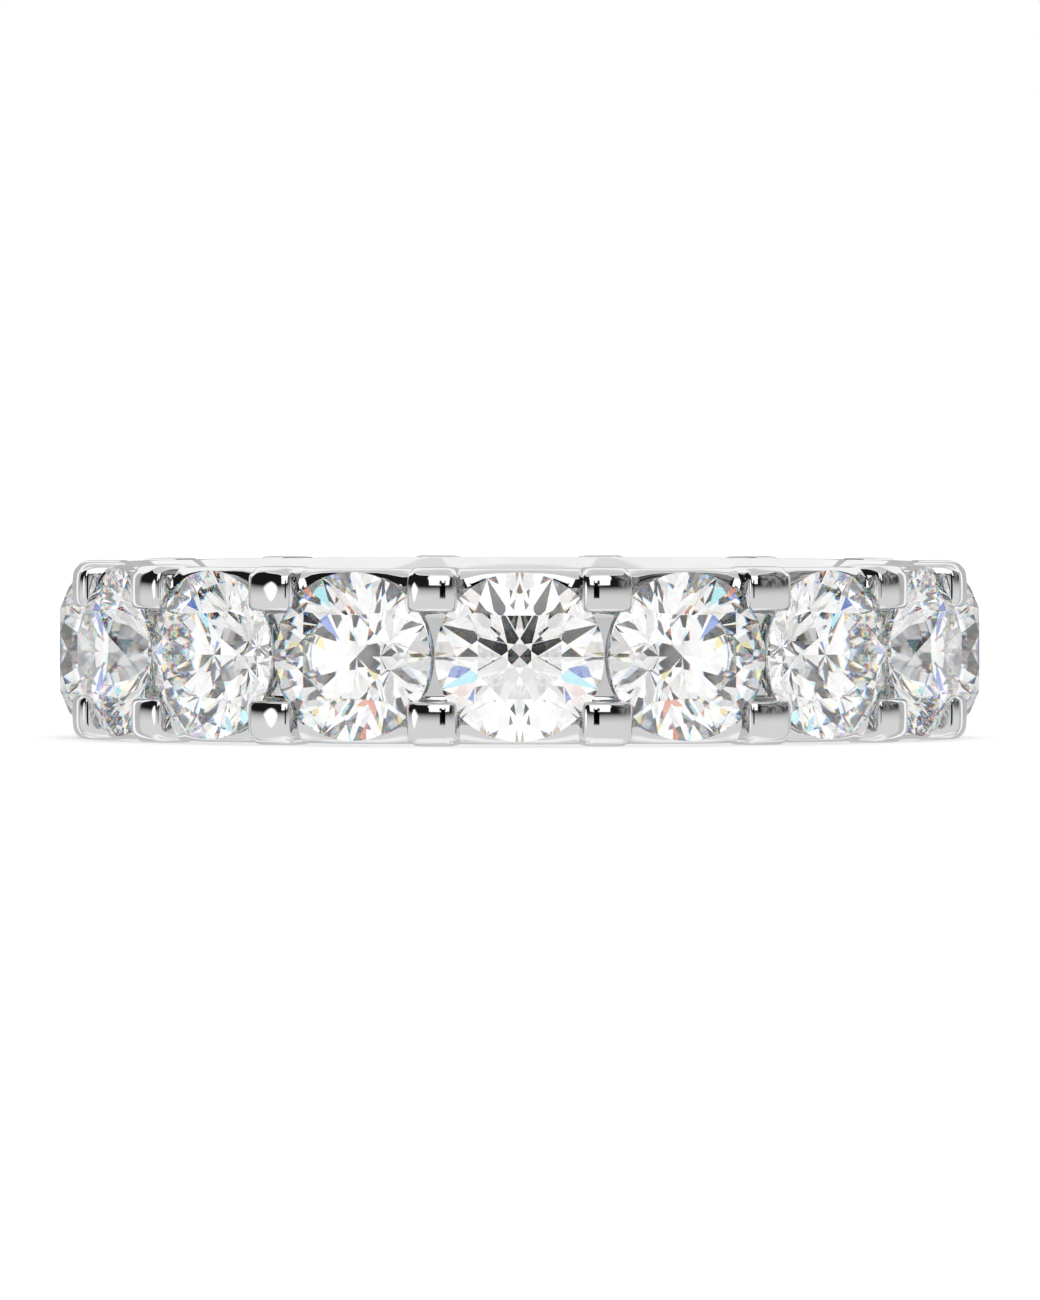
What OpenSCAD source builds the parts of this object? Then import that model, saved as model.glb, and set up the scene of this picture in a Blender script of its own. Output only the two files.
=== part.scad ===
// Full eternity ring: round brilliants all the way round, each pair of neighbours sharing two claws.
// The ring lies on its side. Its axis is Z, and the first stone faces -Y.

/* [Stones] */
// Number of stones round the ring
stones = 16; // [12:1:20]
// Diameter of a stone at its girdle
stone_d = 4.1; // [3.9:0.05:4.2]
// Gap between the girdles of two neighbours
girdle_gap = 0.12; // [0.08:0.01:0.2]
// Table across its corners
table_d = 2.2; // [2:0.05:2.4]
// Height of the crown, from the top of the girdle to the table
crown_h = 0.62; // [0.55:0.01:0.7]
// Thickness of the girdle at its hills
girdle_t = 0.11; // [0.09:0.01:0.15]
// Depth of the pavilion, from the bottom of the girdle to the point
pavilion_h = 1.76; // [1.7:0.01:1.82]
// Reach of the star facets from the table's edge towards the girdle, as a share
star_share = 0.5; // [0.4:0.05:0.6]
// Reach of the lower halves from the girdle towards the point, as a share
lower_share = 0.78; // [0.7:0.01:0.85]

/* [Claws] */
// Width of a claw round the ring
claw_w = 1.25; // [1.1:0.05:1.35]
// Length of a claw's face across the ring
claw_l = 1.09; // [0.9:0.01:1.15]
// Height of the claws' faces above the middle of the girdles
claw_rise = 0.54; // [0.4:0.01:0.6]
// Radius of a claw's corners at the side of the ring
claw_corner = 0.25; // [0.2:0.01:0.4]
// Radius of a claw's corners at its tip
tip_corner = 0.1; // [0.06:0.01:0.14]
// Radius of the edge where a claw's face turns into the side of the ring
claw_side_round = 0.35; // [0.2:0.01:0.45]
// Radius of the edge where a claw's face turns down to the stone
tip_round = 0.15; // [0.08:0.01:0.2]

/* [Band] */
// Width of the ring over its claws
ring_w = 4.34; // [4.3:0.02:4.6]
// How far the rails' sides lie behind the claws' sides
rail_recess = 0.04; // [0.02:0.01:0.06]
// Depth of the rails below the middle of the girdles, half way between claws
rail_drop = 0.16; // [0.1:0.01:0.25]
// Radius of the hollow where a rail rises to a claw
rail_fillet = 0.45; // [0.3:0.05:0.6]
// Depth of the bridge between two claws of a pair below the middle of the girdles
bridge_drop = 0.06; // [0.02:0.01:0.4]
// Metal between a stone's point and the finger
point_wall = 0.3; // [0.2:0.01:0.5]
// Width of the plain inner surface where it is widest, behind the claws
inner_w = 2.74; // [2.5:0.02:3]
// Depth of the ridges behind the claws below the middle of the girdles, at the side of the ring
ridge_drop = 0.76; // [0.65:0.01:0.9]
// Radius of the hollows between those ridges
hollow_r = 8; // [7:0.5:12]
// Diameter of the light hole behind each stone
light_hole_d = 1.3; // [1:0.1:1.5]
// Clearance between a stone and its seat
seat_gap = 0.05; // [0.04:0.01:0.08]

/* [Hidden] */
$fn = 96;
// Angle of one stone's share of the ring, and half of it
pitch = 360 / stones;
half_pitch = pitch / 2;
stone_r = stone_d / 2;
table_r = table_d / 2;
side_z = ring_w / 2;
// Radii from the ring's axis
girdle_r = (stone_r + girdle_gap / 2) / tan(half_pitch);
girdle_foot_r = girdle_r - girdle_t / 2;
point_r = girdle_foot_r - pavilion_h;
hole_r = point_r - point_wall;
claw_r = girdle_r + claw_rise;
rail_r = girdle_r - rail_drop;
bridge_r = girdle_r - bridge_drop;
ridge_r = girdle_r - ridge_drop;
// A claw's root lies inside the band, and its tip starts this far from the middle of the ring
claw_root_r = hole_r + (ridge_r - hole_r) / 3;
tip_z = side_z - claw_l;
rail_z = side_z - rail_recess;
// The shoulder under the claws stays inside them by this much
bury = 0.15;
// How far cutters run past what they cut
past = 1;

// A brilliant has eight bezels, and its table's corners lie over their middles
bezels = 8;
bezel_step = 360 / bezels;
first_bezel = bezel_step / 2;
// The girdle has this many flats for each half facet
flat_count = 4;
girdle_n = bezels * 2 * flat_count;
half_facet = bezel_step / 4;
star_r = table_r * cos(first_bezel) + star_share * (stone_r - table_r * cos(first_bezel));
star_h = crown_h * (stone_r - star_r * cos(first_bezel)) / (stone_r - table_r);
lower_r = stone_r * (1 - lower_share);
lower_h = pavilion_h * (stone_r - lower_r * cos(first_bezel)) / stone_r;

// Name of a stone's node, such as stone_03
function stone_name(i) = str("stone_", i < 10 ? "0" : "", i);

// A point at a radius and an angle round the stone's axis, at a height above the foot of its girdle
function at(r, angle, h) = [r * cos(angle), r * sin(angle), h];

// Height by which a half facet's plane dips at the girdle, at an angle from the nearest hill.
// The plane holds two hills of the girdle and an inner corner at this radius and height.
function dip(angle, inner_r, inner_h) =
  inner_h * stone_r * (cos(half_facet) - cos(angle - half_facet))
  / ((stone_r - inner_r) * cos(half_facet));

// A round brilliant with its axis on Z and the foot of its girdle at Z = 0
module brilliant() {
  top = girdle_t;
  // Angle of each girdle point from the hill before it
  from_hill = [for (j = [0:girdle_n - 1]) (j % flat_count) * 2 * half_facet / flat_count];
  angles = [for (j = [0:girdle_n - 1]) first_bezel + j * 360 / girdle_n];
  table = [for (k = [0:bezels - 1]) at(table_r, first_bezel + k * bezel_step, top + crown_h)];
  star = [for (k = [0:bezels - 1]) at(star_r, (k + 1) * bezel_step, top + star_h)];
  upper = [for (j = [0:girdle_n - 1]) at(stone_r, angles[j], top + dip(from_hill[j], star_r, star_h))];
  lower = [for (j = [0:girdle_n - 1]) at(stone_r, angles[j], -dip(from_hill[j], lower_r, lower_h))];
  inner = [for (k = [0:bezels - 1]) at(lower_r, (k + 1) * bezel_step, -lower_h)];
  tip = [[0, 0, -pavilion_h]];
  // Where each set of points starts
  star_0 = bezels;
  upper_0 = star_0 + bezels;
  lower_0 = upper_0 + girdle_n;
  inner_0 = lower_0 + girdle_n;
  tip_0 = inner_0 + bezels;
  halves = 2 * flat_count;
  polyhedron(
    points = concat(table, star, upper, lower, inner, tip),
    faces = concat(
      [[for (k = [0:bezels - 1]) bezels - 1 - k]],
      [for (k = [0:bezels - 1]) [k, (k + 1) % bezels, star_0 + k]],
      [for (k = [0:bezels - 1]) [k, star_0 + k, upper_0 + k * halves]],
      [for (k = [0:bezels - 1]) [k, upper_0 + k * halves, star_0 + (k + bezels - 1) % bezels]],
      [for (k = [0:bezels - 1], j = [0:halves - 1])
        [star_0 + k, upper_0 + (k * halves + j + 1) % girdle_n, upper_0 + k * halves + j]],
      [for (j = [0:girdle_n - 1]) [upper_0 + j, upper_0 + (j + 1) % girdle_n, lower_0 + j]],
      [for (j = [0:girdle_n - 1]) [upper_0 + (j + 1) % girdle_n, lower_0 + (j + 1) % girdle_n, lower_0 + j]],
      [for (k = [0:bezels - 1], j = [0:halves - 1])
        [inner_0 + k, lower_0 + k * halves + j, lower_0 + (k * halves + j + 1) % girdle_n]],
      [for (k = [0:bezels - 1]) [tip_0, lower_0 + k * halves, inner_0 + k]],
      [for (k = [0:bezels - 1]) [tip_0, inner_0 + (k + bezels - 1) % bezels, lower_0 + k * halves]]
    ),
    convexity = 2
  );
}

// Turns its children, which face +X, to a place counted in stones from the front of the ring
module facing(place) {
  rotate([0, 0, place * pitch - 90]) children();
}

// Stands a shape whose axis is Z on the ring's axis with Z pointing outwards along +X
module outwards(r) {
  translate([r, 0, 0]) rotate([90, 0, 90]) children();
}

// One stone in its seat
module stone(i) {
  color("azure")
    translate([0, 0, side_z])
      facing(i - 1)
        outwards(girdle_foot_r) brilliant();
}

// The space that a stone, its clearance and its light hole take out of the setting
module seat() {
  pavilion = atan2(pavilion_h, stone_r);
  crown = atan2(crown_h, stone_r - table_r);
  wide_r = stone_r + seat_gap;
  foot_z = seat_gap * (tan(pavilion) - 1 / cos(pavilion));
  top_z = girdle_t + seat_gap * (1 / cos(crown) - tan(crown));
  table_z = top_z + (wide_r - table_r) * tan(crown);
  hole = light_hole_d / 2;
  rotate_extrude()
    polygon([
      [0, -pavilion_h - point_wall - past],
      [hole, -pavilion_h - point_wall - past],
      [hole, foot_z - (wide_r - hole) * tan(pavilion)],
      [wide_r, foot_z],
      [wide_r, top_z],
      [table_r, table_z],
      [table_r, table_z + past],
      [0, table_z + past],
    ]);
}

// Section of a claw across the ring: its root, the round over its side and the round at its tip
module claw_section() {
  side_r = claw_r - claw_side_round;
  tip_r = claw_r - tip_round;
  translate([claw_root_r, tip_z]) square([side_r - claw_root_r, claw_l]);
  translate([side_r, tip_z]) square([tip_r - side_r, claw_l - claw_side_round]);
  translate([side_r, tip_z + tip_round])
    square([claw_side_round, claw_l - claw_side_round - tip_round]);
  translate([side_r, side_z - claw_side_round]) circle(claw_side_round);
  translate([tip_r, tip_z + tip_round]) circle(tip_round);
}

// Face of a claw as seen from outside the ring
module claw_face() {
  translate([-claw_w / 2, tip_z + tip_corner])
    square([claw_w, claw_l - tip_corner - claw_corner]);
  translate([tip_corner - claw_w / 2, tip_z]) square([claw_w - 2 * tip_corner, claw_l / 2]);
  translate([claw_corner - claw_w / 2, side_z - claw_l / 2])
    square([claw_w - 2 * claw_corner, claw_l / 2]);
  for (s = [-1, 1]) {
    translate([s * (claw_w / 2 - claw_corner), side_z - claw_corner]) circle(claw_corner);
    translate([s * (claw_w / 2 - tip_corner), tip_z + tip_corner]) circle(tip_corner);
  }
}

// The claws on one side of the ring
module claws() {
  intersection() {
    rotate_extrude() claw_section();
    for (i = [1:stones])
      facing(i - 0.5)
        outwards(claw_root_r - bury)
          linear_extrude(claw_r - claw_root_r + past) claw_face();
  }
}

// The band before it is hollowed: low under the bridges, and high under the claws and rails
module band() {
  low_z = tip_z + bury;
  shoulder_r = claw_r - bury;
  rotate_extrude()
    polygon([
      [hole_r, -rail_z],
      [shoulder_r, -rail_z],
      [shoulder_r, -low_z],
      [bridge_r, -low_z],
      [bridge_r, low_z],
      [shoulder_r, low_z],
      [shoulder_r, rail_z],
      [hole_r, rail_z],
    ]);
}

// The U between two claws, cut along the ring's axis down to the rails
module rail_cut() {
  wall = claw_r * sin(half_pitch) - claw_w / 2 * cos(half_pitch) + bury / 3;
  bend = wall - rail_fillet;
  linear_extrude(ring_w + past, center = true) {
    translate([rail_r, -bend]) square([claw_r - rail_r + past, 2 * bend]);
    translate([rail_r + rail_fillet, -wall]) square([claw_r - rail_r + past, 2 * wall]);
    for (s = [-1, 1])
      translate([rail_r + rail_fillet, s * bend]) circle(rail_fillet);
  }
}

// The hollow between two ridges inside the ring, on its upper side
module side_hollow() {
  ridge_x = ridge_r * cos(half_pitch);
  ridge_y = ridge_r * sin(half_pitch);
  slope = atan2(side_z - inner_w / 2, ridge_x - hole_r * cos(half_pitch));
  sag = hollow_r - sqrt(hollow_r * hollow_r - ridge_y * ridge_y);
  length = (ridge_r - hole_r) / cos(slope) + 2 * past;
  translate([ridge_x + sag * sin(slope), 0, side_z - sag * cos(slope)])
    rotate([0, -slope, 0])
      rotate([90, 0, 90])
        translate([0, 0, past - length])
          linear_extrude(length)
            intersection() {
              translate([0, hollow_r]) circle(hollow_r, $fn = 360);
              translate([-ridge_y - bury, -bury]) square([2 * (ridge_y + bury), ring_w / 2]);
            }
}

// The metal of the ring, as cast and soldered in one
module setting() {
  color("gainsboro")
    translate([0, 0, side_z])
      difference() {
        union() {
          difference() {
            band();
            for (i = [0:stones - 1]) facing(i) rail_cut();
          }
          claws();
          mirror([0, 0, 1]) claws();
        }
        for (i = [0:stones - 1]) {
          facing(i) side_hollow();
          facing(i) mirror([0, 0, 1]) side_hollow();
        }
        for (i = [0:stones - 1]) facing(i) outwards(girdle_foot_r) seat();
      }
}

setting();
for (i = [1:stones])
  stone(i);
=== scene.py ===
"""Looks of a full eternity ring: sixteen round brilliants in a polished white gold setting.
The ring lies on its side, its axis is Z, and its first stone faces -Y."""
import math

import bpy
from mathutils import Matrix, Vector


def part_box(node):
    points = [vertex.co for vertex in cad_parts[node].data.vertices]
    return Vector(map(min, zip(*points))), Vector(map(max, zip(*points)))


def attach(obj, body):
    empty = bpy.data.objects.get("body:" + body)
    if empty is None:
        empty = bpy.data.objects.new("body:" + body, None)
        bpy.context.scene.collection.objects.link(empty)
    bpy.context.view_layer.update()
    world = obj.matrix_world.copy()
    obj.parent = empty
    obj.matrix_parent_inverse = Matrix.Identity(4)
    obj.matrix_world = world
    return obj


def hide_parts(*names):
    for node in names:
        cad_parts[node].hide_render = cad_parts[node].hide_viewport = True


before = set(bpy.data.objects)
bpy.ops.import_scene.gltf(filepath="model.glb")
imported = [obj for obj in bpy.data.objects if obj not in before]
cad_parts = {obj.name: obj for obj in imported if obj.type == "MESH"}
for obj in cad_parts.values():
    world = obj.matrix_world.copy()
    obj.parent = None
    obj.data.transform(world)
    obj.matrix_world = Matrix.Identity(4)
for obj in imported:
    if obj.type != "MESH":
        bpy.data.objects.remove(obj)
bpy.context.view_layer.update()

bl_info = {
    "name": "Eternity ring",
    "version": (1, 0, 0),
    "blender": (4, 5, 0),
    "location": "View3D > Sidebar > Ring",
    "description": "Builds the setting, cuts the light into the stones and lights the ring",
    "category": "Object",
}

# The ring is modelled in millimetres and brought to metres when a piece is finished
MM = 0.001
STONES = sorted(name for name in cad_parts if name.startswith("stone_"))
COUNT = len(STONES)
# Half of one stone's share of the ring
HALF = math.pi / COUNT
# Points nearer to each other than this, in mm, are one
DOUBLE = 1e-4
# Edges of the metal that turn by less than this are shaded smooth
SMOOTH_ANGLE = math.radians(30)
ring_low, ring_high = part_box("setting")
stone_low, stone_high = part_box(STONES[0])


def linear(hex_colour):
    """Linear red, green and blue of an sRGB hex colour such as #DDE0E4."""
    parts = [int(hex_colour[i:i + 2], 16) / 255 for i in (1, 3, 5)]
    return [c / 12.92 if c <= 0.04045 else ((c + 0.055) / 1.055) ** 2.4 for c in parts]


def metres(description, name, default):
    """A length that can be changed."""
    return bpy.props.FloatProperty(
        name=name, description=description, default=default, min=0, unit="LENGTH", precision=6)


class RingSizes(bpy.types.PropertyGroup):
    side_z: metres("From the middle of the ring to the claws' sides", "Half width",
                   (ring_high.z - ring_low.z) / 2)
    hole_r: metres("Radius of the finger hole", "Hole radius", 8.4927 * MM)
    inner_half: metres("Half width of the plain inner surface behind the claws", "Inner half", 1.37 * MM)
    ridge_r: metres("Radius where the ridges behind the claws reach the side", "Ridge radius", 9.8477 * MM)
    hollow_r: metres("Radius of the hollows between the ridges", "Hollow radius", 8 * MM)
    ridge_soft: metres("Softness of the ridges", "Ridge softness", 0.08 * MM)
    rail_recess: metres("How far the rails lie behind the claws' sides", "Rail recess", 0.04 * MM)
    rail_r: metres("Radius of the rails half way between claws", "Rail radius", 10.4477 * MM)
    rail_fillet: metres("Hollow where a rail rises to a claw", "Rail fillet", 0.45 * MM)
    rail_round: metres("Rounding of the rails' outer edges half way between claws", "Rail rounding", 0.2 * MM)
    claw_foot_round: metres("Rounding of the rails' outer edges beside a claw", "Foot rounding", 0.5 * MM)
    bridge_r: metres("Radius of the bridge between two claws", "Bridge radius", 10.5477 * MM)
    claw_r: metres("Radius of the claws' faces", "Claw radius", 11.1477 * MM)
    claw_w: metres("Width of a claw round the ring", "Claw width", 1.25 * MM)
    claw_l: metres("Length of a claw's face across the ring", "Claw length", 1.09 * MM)
    claw_corner: metres("Radius of a claw's corners at the ring's side", "Claw corner", 0.25 * MM)
    tip_corner: metres("Radius of a claw's corners at its tip", "Tip corner", 0.1 * MM)
    claw_root_r: metres("Radius where a claw's root ends in the band", "Claw root", 9.93 * MM)
    girdle_r: metres("Radius at the foot of the stones' girdles", "Girdle foot radius", 10.5527 * MM)
    stone_r: metres("Radius of a stone", "Stone radius", (stone_high.x - stone_low.x) / 2)
    table_r: metres("Radius of a stone's table", "Table radius", 1.1 * MM)
    crown_h: metres("Height of a stone's crown", "Crown", 0.62 * MM)
    girdle_t: metres("Thickness of a stone's girdle", "Girdle", 0.11 * MM)
    pavilion_h: metres("Depth of a stone's pavilion", "Pavilion", 1.76 * MM)
    seat_gap: metres("Clearance between a stone and its seat", "Seat gap", 0.05 * MM)
    light_hole: metres("Radius of the light hole behind a stone", "Light hole", 0.65 * MM)


def colour(name, description, hex_colour):
    """A colour that can be changed."""
    return bpy.props.FloatVectorProperty(
        name=name, description=description, subtype="COLOR", size=3, min=0, max=1,
        default=linear(hex_colour))


class RingColours(bpy.types.PropertyGroup):
    metal: colour("White gold", "Rhodium plate over white gold", "#EBECEE")
    metal_shade: colour("White gold, worn", "Where the plate is thinner", "#DFDEDD")
    floor: colour("Floor", "Plain table under the ring", "#FFFFFF")


def sizes():
    """The sizes in millimetres."""
    held = bpy.context.scene.ring_sizes
    return {name: getattr(held, name) / MM for name in RingSizes.__annotations__}


# Modelling helpers

def start(add, name, **place):
    """Adds a primitive with nothing else selected and gives it its name."""
    if bpy.context.mode != "OBJECT":
        bpy.ops.object.mode_set(mode="OBJECT")
    bpy.ops.object.select_all(action="DESELECT")
    add(**place)
    piece = bpy.context.active_object
    piece.name = piece.data.name = name
    return piece


def pick(piece, test, kind="verts"):
    """Selects the points or faces of a piece in edit mode that pass a test on their place or face."""
    bpy.ops.object.mode_set(mode="OBJECT")
    mesh = piece.data
    for part in (mesh.vertices, mesh.edges, mesh.polygons):
        part.foreach_set("select", [False] * len(part))
    part = mesh.vertices if kind == "verts" else mesh.polygons
    found = 0
    for item in part:
        item.select = bool(test(item))
        found += item.select
    bpy.ops.object.mode_set(mode="EDIT")
    bpy.ops.mesh.select_mode(type="VERT" if kind == "verts" else "FACE")
    if not found:
        raise RuntimeError(f"nothing picked on {piece.name}")


def shift(piece, test, x=0, y=0, z=0):
    """Moves the points of a piece that pass a test."""
    pick(piece, test)
    bpy.ops.transform.translate(value=(x, y, z))


def only(piece):
    """Selects a piece alone, in object mode."""
    if bpy.context.mode != "OBJECT":
        bpy.ops.object.mode_set(mode="OBJECT")
    bpy.ops.object.select_all(action="DESELECT")
    piece.select_set(True)
    bpy.context.view_layer.objects.active = piece


def cut(piece, cutter):
    """Takes the cutter's shape out of a piece."""
    only(piece)
    change = piece.modifiers.new("cut", "BOOLEAN")
    change.operation = "DIFFERENCE"
    change.solver = "EXACT"
    change.object = cutter
    bpy.ops.object.modifier_apply(modifier=change.name)


def close_up(piece):
    """Merges doubled points, which a cut leaves too, and turns all faces outwards."""
    only(piece)
    bpy.ops.object.mode_set(mode="EDIT")
    bpy.ops.mesh.select_all(action="SELECT")
    bpy.ops.mesh.remove_doubles(threshold=DOUBLE)
    bpy.ops.mesh.normals_make_consistent(inside=False)
    bpy.ops.object.mode_set(mode="OBJECT")


def copy_of(piece, name):
    """A copy of a piece with a mesh of its own."""
    only(piece)
    bpy.ops.object.duplicate(linked=False)
    twin = bpy.context.active_object
    twin.name = twin.data.name = name
    return twin


def turned(piece, matrix):
    """Places a piece by a matrix and leaves its object at the origin."""
    only(piece)
    piece.matrix_world = matrix @ piece.matrix_world
    bpy.ops.object.transform_apply(location=True, rotation=True, scale=True)


def finish_piece(piece):
    """Brings a piece of the setting from millimetres to metres and gives it its finish."""
    only(piece)
    piece.matrix_world = Matrix.Translation((0, 0, side_plane())) @ Matrix.Scale(MM, 4)
    bpy.ops.object.transform_apply(location=True, rotation=True, scale=True)
    bpy.ops.object.shade_smooth_by_angle(angle=SMOOTH_ANGLE)
    piece.data.materials.clear()
    piece.data.materials.append(metal())
    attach(piece, "root")
    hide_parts("setting")


def side_plane():
    """Height of the ring's middle above the floor, in metres."""
    return bpy.context.scene.ring_sizes.side_z


def place_turn(place):
    """Turn from +X to a place counted in stones from the front of the ring, which faces -Y."""
    return Matrix.Rotation(place * 2 * HALF - math.pi / 2, 4, "Z")


# Materials

METAL_NAME = "rhodium_plated_white_gold_mirror_polished"
# Radii in mm between which the turned lines of the finger side fade away
LINES_FADE = (8.52, 8.56)
# The fire of a diamond: three shares of the light that add up to white, each with its index. The
# indices lie further apart than the real ones, 2.41 to 2.45, so that three colours show it
FIRE = (((0.6, 0.18, 0.09, 1), 2.37), ((0.3, 0.62, 0.3, 1), 2.417), ((0.1, 0.2, 0.61, 1), 2.47))


def add(tree, kind, inputs=None, **settings):
    """Adds a node, sets it and links its inputs. An input is a value or another node's output."""
    node = tree.nodes.new(kind)
    for name, value in settings.items():
        setattr(node, name, value)
    for name, value in (inputs or {}).items():
        socket = node.inputs[name]
        if isinstance(value, bpy.types.NodeSocket):
            tree.links.new(value, socket)
        else:
            socket.default_value = value
    return node


def new_material(name):
    """An empty material and its node tree."""
    material = bpy.data.materials.new(name)
    material.use_nodes = True
    material.node_tree.nodes.clear()
    return material, material.node_tree


def per_mm(size):
    """Scale of a pattern on Object coordinates, in metres, for features of a size in millimetres."""
    return 1 / (size * MM)


def metal():
    """The setting's one material, made when it is first asked for."""
    return bpy.data.materials.get(METAL_NAME) or white_gold(bpy.context.scene.ring_colours)


def white_gold(held):
    """White gold, cast, rhodium plated and mirror polished: a cold bright mirror.
    Buffing leaves waves a third of a millimetre wide that make highlights swim a little, and a
    faint patchy haze. The finger side, turned and less polished, also has fine lines round it."""
    material, tree = new_material(METAL_NAME)
    place = add(tree, "ShaderNodeTexCoord").outputs["Object"]
    # Slow differences of the plate's tone, over about two millimetres
    tone = add(tree, "ShaderNodeTexNoise", {"Vector": place, "Scale": per_mm(2), "Detail": 3})
    # A mixing node has several inputs called A and B. Its colours go in at 6 and 7, and out at 2
    base = add(tree, "ShaderNodeMix", {
        0: tone.outputs["Fac"], 6: (*held.metal, 1), 7: (*held.metal_shade, 1)}, data_type="RGBA")
    # Haze of the last polish, in patches of about half a millimetre
    haze = add(tree, "ShaderNodeTexNoise", {"Vector": place, "Scale": per_mm(0.5), "Detail": 5})
    rough = add(tree, "ShaderNodeMapRange", {
        "Value": haze.outputs["Fac"], "From Min": 0.35, "From Max": 0.7, "To Min": 0.035, "To Max": 0.075})
    # Turned lines round the finger hole: 0.06 mm apart across the ring, long round it
    inside = add(tree, "ShaderNodeMapping", {"Vector": place, "Scale": (0.02, 0.02, 1)})
    lines = add(tree, "ShaderNodeTexNoise", {
        "Vector": inside.outputs["Vector"], "Scale": per_mm(0.06), "Detail": 2})
    split = add(tree, "ShaderNodeSeparateXYZ", {"Vector": place})
    flat = add(tree, "ShaderNodeCombineXYZ", {"X": split.outputs["X"], "Y": split.outputs["Y"]})
    radius = add(tree, "ShaderNodeVectorMath", {"Vector": flat.outputs["Vector"]}, operation="LENGTH")
    bore = add(tree, "ShaderNodeMapRange", {
        "Value": radius.outputs["Value"], "From Min": LINES_FADE[0] * MM, "From Max": LINES_FADE[1] * MM,
        "To Min": 0.06, "To Max": 0})
    worn = add(tree, "ShaderNodeMath", {0: lines.outputs["Fac"], 1: bore.outputs["Result"]},
               operation="MULTIPLY")
    rough = add(tree, "ShaderNodeMath", {0: rough.outputs["Result"], 1: worn.outputs["Value"]},
                operation="ADD")
    # Buffing waves a third of a millimetre wide and well under a micron high
    waves = add(tree, "ShaderNodeTexNoise", {"Vector": place, "Scale": per_mm(0.33), "Detail": 1})
    bump = add(tree, "ShaderNodeBump", {
        "Height": waves.outputs["Fac"], "Strength": 0.35, "Distance": 0.0008 * MM})
    shader = add(tree, "ShaderNodeBsdfPrincipled", {
        "Base Color": base.outputs[2], "Metallic": 1.0, "Roughness": rough.outputs["Value"],
        "Normal": bump.outputs["Normal"]})
    add(tree, "ShaderNodeOutputMaterial", {"Surface": shader.outputs["BSDF"]})
    return material


def diamond():
    """Diamond, sawn, bruted and polished on the wheel: clear facets as flat as glass can be.
    Red, green and blue bend by different amounts where light enters, which throws the fire."""
    material, tree = new_material("polished_diamond")
    parts = []
    for tint, ior in FIRE:
        glass = add(tree, "ShaderNodeBsdfGlass", {"Color": tint, "Roughness": 0.0, "IOR": ior})
        parts.append(glass.outputs["BSDF"])
    first = add(tree, "ShaderNodeAddShader", {0: parts[0], 1: parts[1]})
    entry = add(tree, "ShaderNodeAddShader", {0: first.outputs["Shader"], 1: parts[2]})
    inner = add(tree, "ShaderNodeBsdfGlass", {"Color": (1, 1, 1, 1), "Roughness": 0.0, "IOR": 2.417})
    side = add(tree, "ShaderNodeNewGeometry")
    both = add(tree, "ShaderNodeMixShader", {
        0: side.outputs["Backfacing"], 1: entry.outputs["Shader"], 2: inner.outputs["BSDF"]})
    add(tree, "ShaderNodeOutputMaterial", {"Surface": both.outputs["Shader"]})
    return material


# The setting

# Sides of a seat, and how far its cutter reaches above the table and below the stone's point, in mm
SEAT_SIDES = 112
ABOVE_TABLE, BELOW_POINT = 1.5, 1.6


def seat_cutter(mm, place):
    """The space of a stone with its clearance and light hole: two cones on the girdle and a bore."""
    pavilion = math.atan2(mm["pavilion_h"], mm["stone_r"])
    crown = math.atan2(mm["crown_h"], mm["stone_r"] - mm["table_r"])
    gap = mm["seat_gap"]
    wide = mm["stone_r"] + gap
    foot = gap * (math.tan(pavilion) - 1 / math.cos(pavilion))
    top = mm["girdle_t"] + gap * (1 / math.cos(crown) - math.tan(crown))
    cone_end = foot - (wide - mm["light_hole"]) * math.tan(pavilion)
    table = top + (wide - mm["table_r"]) * math.tan(crown)
    cutter = start(bpy.ops.mesh.primitive_cylinder_add, "seat", vertices=SEAT_SIDES, radius=wide,
                   depth=top - foot, location=(0, 0, (top + foot) / 2))
    deepest = -mm["pavilion_h"] - BELOW_POINT
    for up, steps in ((True, ((table, mm["table_r"] / wide), (table + ABOVE_TABLE, 1))),
                      (False, ((cone_end, mm["light_hole"] / wide), (deepest, 1)))):
        level = top if up else foot
        pick(cutter, lambda face: face.normal.z * (1 if up else -1) > 0.9, "faces")
        for height, share in steps:
            bpy.ops.mesh.extrude_region_move(TRANSFORM_OT_translate={"value": (0, 0, height - level)})
            bpy.ops.transform.resize(value=(share, share, 1))
            level = height
    bpy.ops.object.mode_set(mode="OBJECT")
    outwards = Matrix.Translation((mm["girdle_r"], 0, 0)) @ Matrix.Rotation(math.pi / 2, 4, "Y")
    turned(cutter, place_turn(place) @ outwards)
    close_up(cutter)
    return cutter


def hollow_height(mm, r, angle):
    """Height of the hollow side of the band at a radius and an angle from the middle of a stone."""
    ridge_x, ridge_y = mm["ridge_r"] * math.cos(HALF), mm["ridge_r"] * math.sin(HALF)
    slope = math.atan2(mm["side_z"] - mm["inner_half"], ridge_x - mm["hole_r"] * math.cos(HALF))
    big = mm["hollow_r"]
    sag = big - math.sqrt(big * big - ridge_y * ridge_y)
    soft = mm["ridge_soft"] / mm["ridge_r"]
    angle = HALF - math.hypot(HALF - abs(angle), soft)
    y = r * math.sin(angle)
    rise = big - math.sqrt(big * big - y * y)
    start_x = ridge_x + sag * math.sin(slope)
    start_z = mm["side_z"] - sag * math.cos(slope)
    return start_z + (r * math.cos(angle) - start_x) * math.tan(slope) + rise / math.cos(slope)


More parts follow.
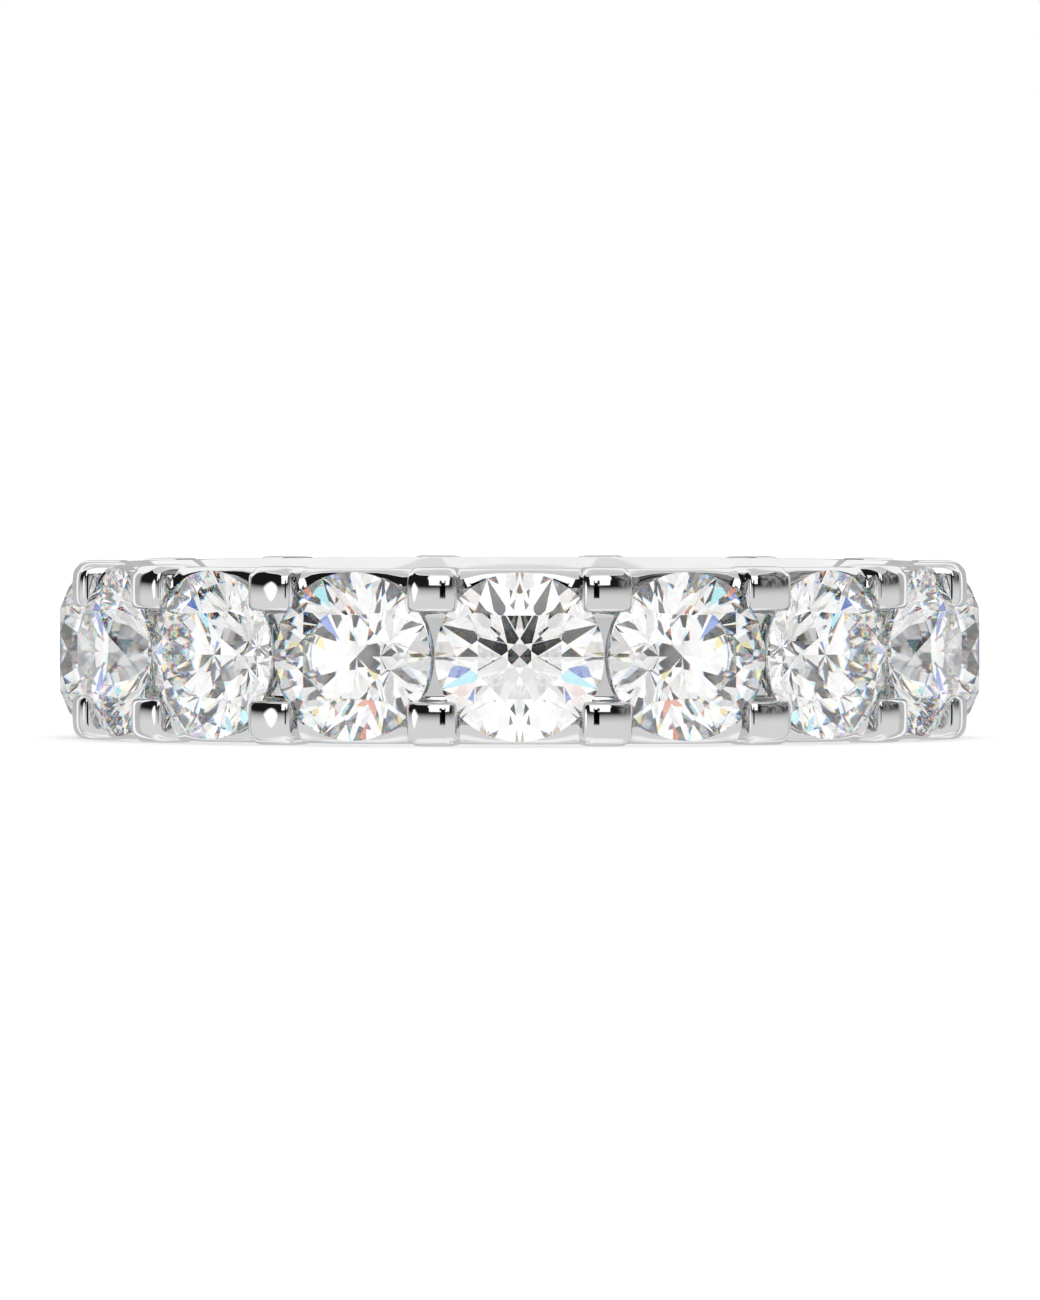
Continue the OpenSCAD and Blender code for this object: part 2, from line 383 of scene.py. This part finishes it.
def rounded(before, corner, after, radius, steps):
    """Points of the round that replaces a corner between two straight lines."""
    a, b = (before - corner).normalized(), (after - corner).normalized()
    half = a.angle(b) / 2
    back = radius / math.tan(half)
    centre = corner + (a + b).normalized() * (radius / math.sin(half))
    first, last = corner + a * back - centre, corner + b * back - centre
    turn = math.pi - 2 * half
    return [centre + (first * math.sin((1 - k / steps) * turn) + last * math.sin(k / steps * turn))
            / math.sin(turn) for k in range(steps + 1)]


# How far the band's shoulder reaches in under a claw's flank, in mm
UNDER_CLAW = 0.05
# Rounds of the band's section, in mm: where its finger side turns up, where it meets the flat side
# of the ring, and at the foot of the groove
FINGER_ROUND, BROW_ROUND, GROOVE_ROUND = 0.07, 0.12, 0.08
# The rails' rounding grows towards the claws: where this starts, counted in mm round the ring from
# the middle of a stone, and over what length it reaches its full size
GROWTH_START, GROWTH_LENGTH = 0.5, 0.9
# Across the ring, in mm: from the groove's foot to the rail's inner edge, which makes the groove's
# wall lean, and from the foot's round to the next row of points on the groove's floor
WALL_LEAN, FOOT_ROW = 0.15, 0.05


def band_stations(mm):
    """Outer points of the band from the middle of a stone to the middle of a claw, as seen along
    the ring's axis: a flat rail, the hollow in which it rises, and the shoulder under the claw."""
    wall = mm["claw_r"] * math.sin(HALF) - mm["claw_w"] / 2 * math.cos(HALF) + UNDER_CLAW
    bend = wall - mm["rail_fillet"]
    stations = [(Vector((mm["rail_r"], bend * k / 4)), Vector((1, 0))) for k in range(5)]
    for degrees in (9, 18, 27, 36, 46, 56):
        a = math.radians(degrees)
        point = Vector((mm["rail_r"] + mm["rail_fillet"] * (1 - math.cos(a)),
                        bend + mm["rail_fillet"] * math.sin(a)))
        stations.append((point, Vector((math.cos(a), -math.sin(a)))))
    last = stations[-1][0]
    angle, shoulder = math.atan2(last.y, last.x), last.length
    for share in (0.25, 0.5, 0.7, 0.84, 0.93, 1):
        a = angle + (HALF - angle) * share
        out = Vector((math.cos(a), math.sin(a)))
        stations.append((out * shoulder, out))
    return stations


def band_section(mm, point, out):
    """Upper half of the band's section at a station, from the finger side round to the groove."""
    angle = math.atan2(point.y, point.x)
    rail_z = mm["side_z"] - mm["rail_recess"]
    low, high = mm["hole_r"], mm["rail_r"]
    for _ in range(40):
        middle = (low + high) / 2
        if hollow_height(mm, middle, angle) < rail_z:
            low = middle
        else:
            high = middle
    wall = Vector((mm["hole_r"], hollow_height(mm, mm["hole_r"], angle)))
    brow = Vector((low, rail_z))
    flat = [Vector((mm["hole_r"], 0))]
    flat += rounded(flat[0], wall, brow, FINGER_ROUND, 3)
    flat += [wall.lerp(brow, share) for share in (0.35, 0.65)]
    flat += rounded(wall, brow, Vector((high + 1, rail_z)), BROW_ROUND, 3)
    around = Vector((math.cos(angle), math.sin(angle)))
    section = [Vector((*(around * p.x), p.y)) for p in flat]
    grown = min(1, max(0, (angle * mm["rail_r"] - GROWTH_START) / GROWTH_LENGTH))
    edge = mm["rail_round"] + (mm["claw_foot_round"] - mm["rail_round"]) * grown * grown
    for degrees in (90, 75, 60, 45, 30, 15, 0):
        a = math.radians(degrees)
        spot = point - out * edge * (1 - math.cos(a))
        section.append(Vector((*spot, rail_z - edge + edge * math.sin(a))))
    tip = mm["side_z"] - mm["claw_l"]
    section.append(Vector((*point, tip + WALL_LEAN)))
    floor = mm["bridge_r"]
    groove = rounded(Vector((floor + 1, tip)), Vector((floor, tip)), Vector((floor, 0)), GROOVE_ROUND, 4)
    section += [Vector((*(around * p.x), p.y)) for p in groove]
    section += [Vector((*(around * floor), z)) for z in (section[-1].z - FOOT_ROW, 0)]
    return section


class RING_OT_band(bpy.types.Operator):
    """Band: a closed sheet pulled to the rails, groove and inner hollows, with the seats cut in"""
    bl_idname = "ring.band"
    bl_label = "Band"

    def execute(self, context):
        mm = sizes()
        half = [(point, band_section(mm, point, out)) for point, out in band_stations(mm)]
        mirrored = [[Vector((p.x, -p.y, p.z)) for p in section] for _, section in half[:0:-1]]
        cell = mirrored + [section for _, section in half[:-1]]
        loops = []
        for k in range(COUNT):
            turn = place_turn(k).to_3x3()
            for section in cell:
                upper = [turn @ p for p in section]
                lower = [Vector((p.x, p.y, -p.z)) for p in upper[-2:0:-1]]
                loops.append(upper + lower)
        # A sheet with a row of points for each section, closed on itself both ways
        band = start(bpy.ops.mesh.primitive_grid_add, "band", size=1,
                     x_subdivisions=len(loops[0]), y_subdivisions=len(loops))
        loops.append(loops[0])
        places = [c for loop in loops for p in loop + loop[:1] for c in p]
        if len(places) != 3 * len(band.data.vertices):
            raise RuntimeError("the band's sheet has another number of points than its sections")
        band.data.vertices.foreach_set("co", places)
        band.data.update()
        close_up(band)
        seats = [seat_cutter(mm, k) for k in range(COUNT)]
        only(seats[0])
        for seat in seats:
            seat.select_set(True)
        bpy.ops.object.join()
        cut(band, seats[0])
        bpy.data.objects.remove(seats[0])
        close_up(band)
        finish_piece(band)
        return {"FINISHED"}


# How far a claw's face falls below its top, in mm, at distances from its middle line towards its
# flanks, and at distances from the ring's side and from its tip
FLANK_FALL = ((0.17, 0.008), (0.338, 0.033), (0.43, 0.059), (0.52, 0.1), (0.57, 0.137),
              (0.605, 0.185), (0.625, 0.29))
SIDE_FALL = ((0.5, 0.0025), (0.35, 0.011), (0.27, 0.023), (0.2, 0.047), (0.12, 0.099),
             (0.06, 0.167), (0.02, 0.246), (0, 0.36))
TIP_FALL = ((0.32, 0.003), (0.2, 0.01), (0.15, 0.0145), (0.1, 0.026), (0.05, 0.055),
            (0.02, 0.092), (0, 0.167))
# Depths below a claw's face, in mm, of two rows of points that keep its flanks straight
ROOT_ROWS = (0.7, 0.9)
# A point this near to a row, in mm, belongs to it
NEAR = 0.004


def claw_form(mm):
    """One claw on +X: a block with a domed face, softly rounded to the ring's side and to its tip."""
    half_w = mm["claw_w"] / 2
    side, tip = mm["side_z"], mm["side_z"] - mm["claw_l"]
    top, root = mm["claw_r"], mm["claw_root_r"]
    claw = start(bpy.ops.mesh.primitive_cube_add, "claw", size=1)
    turned(claw, Matrix.Translation(((top + root) / 2, 0, (side + tip) / 2))
           @ Matrix.Diagonal((top - root, 2 * half_w, side - tip, 1)))
    planes = [((0, s * y, 0), (0, 1, 0)) for y, _ in FLANK_FALL[:-1] for s in (1, -1)]
    planes += [((0, 0, side - z), (0, 0, 1)) for z, _ in SIDE_FALL[:-1]]
    planes += [((0, 0, tip + z), (0, 0, 1)) for z, _ in TIP_FALL[:-1]]
    planes += [((0, 0, 0), (0, 1, 0))] + [((top - x, 0, 0), (1, 0, 0)) for x in ROOT_ROWS]
    for plane, normal in planes:
        bpy.ops.object.mode_set(mode="EDIT")
        bpy.ops.mesh.select_all(action="SELECT")
        bpy.ops.mesh.bisect(plane_co=plane, plane_no=normal)
    bpy.ops.object.mode_set(mode="OBJECT")
    home = [v.co.copy() for v in claw.data.vertices]

    def shift_row(test, **move):
        chosen = {i for i, place in enumerate(home) if test(place)}
        shift(claw, lambda v: v.index in chosen, **move)

    for y, drop in FLANK_FALL:
        shift_row(lambda p: p.x > top - NEAR and abs(abs(p.y) - y) < NEAR, x=-drop)
    ends = [(side - z, drop) for z, drop in SIDE_FALL] + [(tip + z, drop) for z, drop in TIP_FALL]
    for z, drop in ends:
        shift_row(lambda p: p.x > top - NEAR and abs(p.z - z) < NEAR, x=-drop)
    # Round corners as seen on the face: wide ones at the ring's side and small ones at the tip
    for end, inward, rows, radius in ((side, -1, SIDE_FALL, mm["claw_corner"]),
                                      (tip, 1, TIP_FALL, mm["tip_corner"])):
        for y in (y for y, _ in FLANK_FALL if half_w - y < radius):
            for z in (z for z, _ in rows if z < radius):
                u, w = radius - half_w + y, radius - z
                share = max(u, w) / math.hypot(u, w) - 1
                for s in (1, -1):
                    shift_row(lambda p: abs(p.y - s * y) < NEAR and abs(p.z - end - inward * z) < NEAR,
                              y=s * u * share, z=-inward * w * share)
    only(claw)
    change = claw.modifiers.new("smooth", "SUBSURF")
    change.levels = change.render_levels = 2
    bpy.ops.object.modifier_apply(modifier=change.name)
    close_up(claw)
    return claw


class RING_OT_claws(bpy.types.Operator):
    """Claws: one is modelled, fitted to its two stones and copied round both sides of the ring"""
    bl_idname = "ring.claws"
    bl_label = "Claws"

    def execute(self, context):
        mm = sizes()
        claw = claw_form(mm)
        turned(claw, place_turn(0.5))
        for place in (0, 1):
            seat = seat_cutter(mm, place)
            cut(claw, seat)
            bpy.data.objects.remove(seat)
        turned(claw, place_turn(0.5).inverted())
        # Turned over about its own outward direction, a claw is the one on the other side
        over = Matrix.Rotation(math.pi, 4, "X")
        for k in range(COUNT):
            for name, side in (("upper", Matrix.Identity(4)), ("lower", over)):
                twin = copy_of(claw, f"claw_{name}_{k + 1:02d}")
                turned(twin, place_turn(k + 0.5) @ side)
                finish_piece(twin)
        bpy.data.objects.remove(claw)
        return {"FINISHED"}


class RING_OT_stones(bpy.types.Operator):
    """Stones: the cut solids keep their facets and become clear diamond"""
    bl_idname = "ring.stones"
    bl_label = "Stones"

    def execute(self, context):
        clear = diamond()
        for name in STONES:
            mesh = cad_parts[name].data
            mesh.materials.clear()
            mesh.materials.append(clear)
        return {"FINISHED"}


# The stage

# Degrees in one radian
DEGREES = 180 / math.pi
# The dark spot where the lens is, as the stones see it: how far above the horizon, and its radius
LENS_TILT, LENS_RADIUS = math.radians(4), math.radians(8.7)
# Brightness that arrives from each direction, worked out in steps. A step has its name, what is
# done, and to what: numbers, or steps above it. x, y and z are the direction. All angles are in
# degrees. SMOOTHSTEP goes softly, as its first part goes from the second to the third, from the
# fourth to the fifth. COMPARE is 1 where its first part is within the third of the second.
STUDIO_STEPS = (
    ("ahead", "MULTIPLY", "y", -1),
    ("climb", "ARCSINE", "z"),
    ("up", "MULTIPLY", "climb", DEGREES),
    ("turn", "ARCTAN2", "x", "ahead"),
    ("across", "MULTIPLY", "turn", DEGREES),
    ("aside", "ABSOLUTE", "across"),
    # A dark room in front, a dull grey on its right, and pale walls behind with a window on each side
    ("behind", "SMOOTHSTEP", "aside", 108, 116, 0, 1),
    ("right side", "SMOOTHSTEP", "across", 30, 60, 0, 0.4),
    ("patches", "SMOOTHSTEP", "smudge", 0.35, 0.65, 0.15, 1),
    ("dull", "MULTIPLY", "right side", "patches"),
    ("back walls", "MULTIPLY", "behind", 0.55),
    ("plain walls", "MAXIMUM", "back walls", "dull"),
    ("window frame", "COMPARE", "aside", 134, 6),
    ("window", "MULTIPLY", "window frame", 1.15),
    ("lit walls", "MAXIMUM", "plain walls", "window"),
    ("walls", "MAXIMUM", "lit walls", 0.012),
    # The overhead cloth: white along its edge, grey above the ring and white again behind it
    ("roll turn", "ARCTAN2", "z", "ahead"),
    ("roll", "MULTIPLY", "roll turn", DEGREES),
    ("lower hem", "MULTIPLY", "behind", 29),
    ("hem", "SUBTRACT", 52, "lower hem"),
    ("above", "SUBTRACT", "up", "hem"),
    ("front edge", "SMOOTHSTEP", "above", 1, 6, 1.1, 0.72),
    ("past the ring", "SMOOTHSTEP", "roll", 113, 116, 0.72, 0.88),
    ("far end", "SMOOTHSTEP", "roll", 118.5, 120, 0.72, 1.1),
    ("near cloth", "MAXIMUM", "front edge", "past the ring"),
    ("cloth", "MAXIMUM", "near cloth", "far end"),
    ("cloth shape", "SMOOTHSTEP", "above", -0.5, 0.5, 0, 1),
    ("overhead", "MULTIPLY", "cloth", "cloth shape"),
    # One big soft box straight in front, a little narrower at its foot
    ("box side", "SMOOTHSTEP", "up", 5, 45, 24, 30),
    ("box width", "LESS_THAN", "aside", "box side"),
    ("box height", "COMPARE", "up", 29, 24),
    ("box", "MULTIPLY", "box width", "box height"),
    # A small lamp on the left, turned on its corner
    ("from lamp", "ADD", "across", 56),
    ("lamp aside", "ABSOLUTE", "from lamp"),
    ("lamp width", "MULTIPLY", "lamp aside", 1 / 17),
    ("over lamp", "SUBTRACT", "up", 0.5),
    ("lamp up", "ABSOLUTE", "over lamp"),
    ("lamp height", "MULTIPLY", "lamp up", 1 / 8.5),
    ("slant", "ADD", "lamp width", "lamp height"),
    ("lamp", "SMOOTHSTEP", "slant", 0.6, 1.15, 1, 0),
    ("brighter", "MAXIMUM", "box", "lamp"),
    ("lights", "MULTIPLY", "brighter", 1.4),
    # The table starts as a soft horizon in front and is brightest right below the ring
    ("table tone", "SMOOTHSTEP", "up", -65, -42, 1.1, 0.82),
    ("back shade", "MULTIPLY", "behind", 0.25),
    ("back tone", "SUBTRACT", 1, "back shade"),
    ("table", "MULTIPLY", "table tone", "back tone"),
    ("horizon", "SMOOTHSTEP", "up", -2.5, 4, 1, 0),
    ("below", "MULTIPLY", "table", "horizon"),
    ("walls and cloth", "MAXIMUM", "walls", "overhead"),
    ("lights and table", "MAXIMUM", "lights", "below"),
    ("room", "MAXIMUM", "walls and cloth", "lights and table"),
    # The camera on its stand, which the claws mirror as a small dark figure: body, foot and two arms
    ("body width", "COMPARE", "aside", 0, 5),
    ("body height", "COMPARE", "up", 3, 6),
    ("body", "MULTIPLY", "body width", "body height"),
    ("foot width", "COMPARE", "aside", 0, 7),
    ("foot height", "COMPARE", "up", 1, 4),
    ("foot", "MULTIPLY", "foot width", "foot height"),
    ("arm width", "COMPARE", "aside", 5.5, 2),
    ("arm height", "COMPARE", "up", 11, 5),
    ("arms", "MULTIPLY", "arm width", "arm height"),
    ("foot and arms", "MAXIMUM", "foot", "arms"),
    ("stand", "MAXIMUM", "body", "foot and arms"),
    ("past the stand", "SUBTRACT", 1, "stand"),
    ("metal sees", "MULTIPLY", "room", "past the stand"),
    # The stones see a cell pattern: white panels, and a dark gap in about one cell of four
    ("gap", "GREATER_THAN", "red", 0.77),
    ("gap tone", "MULTIPLY", "green", 0.12),
    ("panel spread", "MULTIPLY", "blue", 0.6),
    ("panel tone", "ADD", 0.68, "panel spread"),
    ("no gap", "SUBTRACT", 1, "gap"),
    ("panel", "MULTIPLY", "no gap", "panel tone"),
    ("dim gap", "MULTIPLY", "gap", "gap tone"),
    ("panels", "ADD", "panel", "dim gap"),
    # The lens's spot in it, in front and behind
    ("level", "ABSOLUTE", "y"),
    ("level part", "MULTIPLY", "level", math.cos(LENS_TILT)),
    ("upward part", "MULTIPLY", "z", math.sin(LENS_TILT)),
    ("to the lens", "ADD", "level part", "upward part"),
    ("lens", "GREATER_THAN", "to the lens", math.cos(LENS_RADIUS)),
    ("lens shade", "MULTIPLY", "lens", 0.95),
    ("past the lens", "SUBTRACT", 1, "lens shade"),
    ("stones see", "MULTIPLY", "panels", "past the lens"),
    # Light through a stone takes its own pattern, and the camera itself sees plain white
    ("not through", "SUBTRACT", 1, "through"),
    ("metal part", "MULTIPLY", "metal sees", "not through"),
    ("stone part", "MULTIPLY", "stones see", "through"),
    ("ring sees", "ADD", "metal part", "stone part"),
    ("not camera", "SUBTRACT", 1, "camera"),
    ("ring part", "MULTIPLY", "ring sees", "not camera"),
    ("brightness", "ADD", "ring part", "camera"),
)


def studio():
    """Light of a small white studio: an overhead cloth, one big soft box in front, a small lamp on
    the left, a dark room round the camera, pale walls with windows behind, and a pale table. The
    stones get surroundings of their own, because their facets show hardly anything but the pattern
    of what is round them."""
    world = bpy.data.worlds.new("studio")
    world.use_nodes = True
    tree = world.node_tree
    tree.nodes.clear()
    way = add(tree, "ShaderNodeTexCoord").outputs["Generated"]
    split = add(tree, "ShaderNodeSeparateXYZ", {"Vector": way}).outputs
    smudge = add(tree, "ShaderNodeTexNoise", {"Vector": way, "Scale": 4.5, "Detail": 1})
    # Without the sign of x the cells are the same on the left and on the right
    wide = add(tree, "ShaderNodeMath", {0: split["X"]}, operation="ABSOLUTE")
    even = add(tree, "ShaderNodeCombineXYZ", {
        "X": wide.outputs["Value"], "Y": split["Y"], "Z": split["Z"]})
    cells = add(tree, "ShaderNodeTexVoronoi", {
        "Vector": even.outputs["Vector"], "Scale": 2.6, "Randomness": 1.0})
    cell = add(tree, "ShaderNodeSeparateColor", {"Color": cells.outputs["Color"]}).outputs
    path = add(tree, "ShaderNodeLightPath").outputs
    steps = {"x": split["X"], "y": split["Y"], "z": split["Z"], "smudge": smudge.outputs["Fac"],
             "red": cell["Red"], "green": cell["Green"], "blue": cell["Blue"],
             "through": path["Is Transmission Ray"], "camera": path["Is Camera Ray"]}
    for name, work, *parts in STUDIO_STEPS:
        inputs = {number: steps.get(part, part) for number, part in enumerate(parts)}
        if work == "SMOOTHSTEP":
            node = add(tree, "ShaderNodeMapRange", inputs, interpolation_type=work)
        else:
            node = add(tree, "ShaderNodeMath", inputs, operation=work)
        steps[name] = node.outputs[0]
    sky = add(tree, "ShaderNodeBackground", {"Color": (1, 1, 1, 1), "Strength": steps["brightness"]})
    add(tree, "ShaderNodeOutputWorld", {"Surface": sky.outputs["Background"]})
    return world


def table_top(held):
    """Plain white table, matt, so brightly lit that only the ring's soft shadow shows on it."""
    material, tree = new_material("plain_white_table")
    matt = add(tree, "ShaderNodeBsdfDiffuse", {"Color": (*held.floor, 1)})
    glow = add(tree, "ShaderNodeEmission", {"Color": (1, 1, 1, 1), "Strength": 0.45})
    lit = add(tree, "ShaderNodeAddShader", {0: matt.outputs["BSDF"], 1: glow.outputs["Emission"]})
    add(tree, "ShaderNodeOutputMaterial", {"Surface": lit.outputs["Shader"]})
    return material


# The camera: its distance in metres, its tilt, the height of its film in mm, the height of the
# picture in pixels, and the pixels to a millimetre at the ring's middle
DISTANCE = 0.76
LOOK_DOWN = math.radians(1)
FILM = 36
PICTURE_HEIGHT = 1300
PIXELS_PER_MM = 40.7


# Width of the floor in metres, and how many facets and mirrors light may meet on its way
FLOOR_WIDTH = 60
BOUNCES = 24


class RING_OT_stage(bpy.types.Operator):
    """Stage: a plain pale floor, soft studio light and the camera"""
    bl_idname = "ring.stage"
    bl_label = "Stage"

    def execute(self, context):
        floor = start(bpy.ops.mesh.primitive_plane_add, "floor", size=FLOOR_WIDTH, location=(0, 0, 0))
        floor.data.materials.append(table_top(context.scene.ring_colours))
        floor.visible_glossy = floor.visible_transmission = False
        context.scene.world = studio()
        context.scene.view_settings.view_transform = "Standard"
        cycles = context.scene.cycles
        cycles.max_bounces = cycles.transmission_bounces = cycles.glossy_bounces = BOUNCES

        # The lens aims a hair beside and below the middle, so that the ring lies as in the photo
        aim = Vector((0.009 * MM, 0, side_plane() - 0.015 * MM))
        data = bpy.data.cameras.new("camera")
        camera = bpy.data.objects.new("camera", data)
        context.scene.collection.objects.link(camera)
        camera.location = aim + DISTANCE * Vector((0, -math.cos(LOOK_DOWN), math.sin(LOOK_DOWN)))
        camera.rotation_euler = (math.pi / 2 - LOOK_DOWN, 0, 0)
        data.sensor_fit = "VERTICAL"
        data.sensor_height = FILM
        data.lens = FILM * DISTANCE / (PICTURE_HEIGHT / PIXELS_PER_MM * MM)
        data.clip_start, data.clip_end = 0.01, 100
        context.scene.camera = camera
        return {"FINISHED"}


class RING_PT_panel(bpy.types.Panel):
    """Lists the ring's pieces and its sizes"""
    bl_idname = "RING_PT_panel"
    bl_label = "Eternity ring"
    bl_space_type = "VIEW_3D"
    bl_region_type = "UI"
    bl_category = "Ring"

    def draw(self, context):
        for maker in MAKERS:
            self.layout.operator(maker.bl_idname)
        for held in (context.scene.ring_sizes, context.scene.ring_colours):
            box = self.layout.box()
            for name in type(held).__annotations__:
                box.prop(held, name)


MAKERS = (RING_OT_stage, RING_OT_band, RING_OT_claws, RING_OT_stones)
CLASSES = (RingSizes, RingColours, *MAKERS, RING_PT_panel)


def register():
    for cls in CLASSES:
        bpy.utils.register_class(cls)
    bpy.types.Scene.ring_sizes = bpy.props.PointerProperty(type=RingSizes)
    bpy.types.Scene.ring_colours = bpy.props.PointerProperty(type=RingColours)


def unregister():
    del bpy.types.Scene.ring_colours
    del bpy.types.Scene.ring_sizes
    for cls in reversed(CLASSES):
        bpy.utils.unregister_class(cls)


def main():
    register()
    bpy.ops.ring.stage()
    bpy.ops.ring.band()
    bpy.ops.ring.claws()
    bpy.ops.ring.stones()


if __name__ == "__main__":
    main()
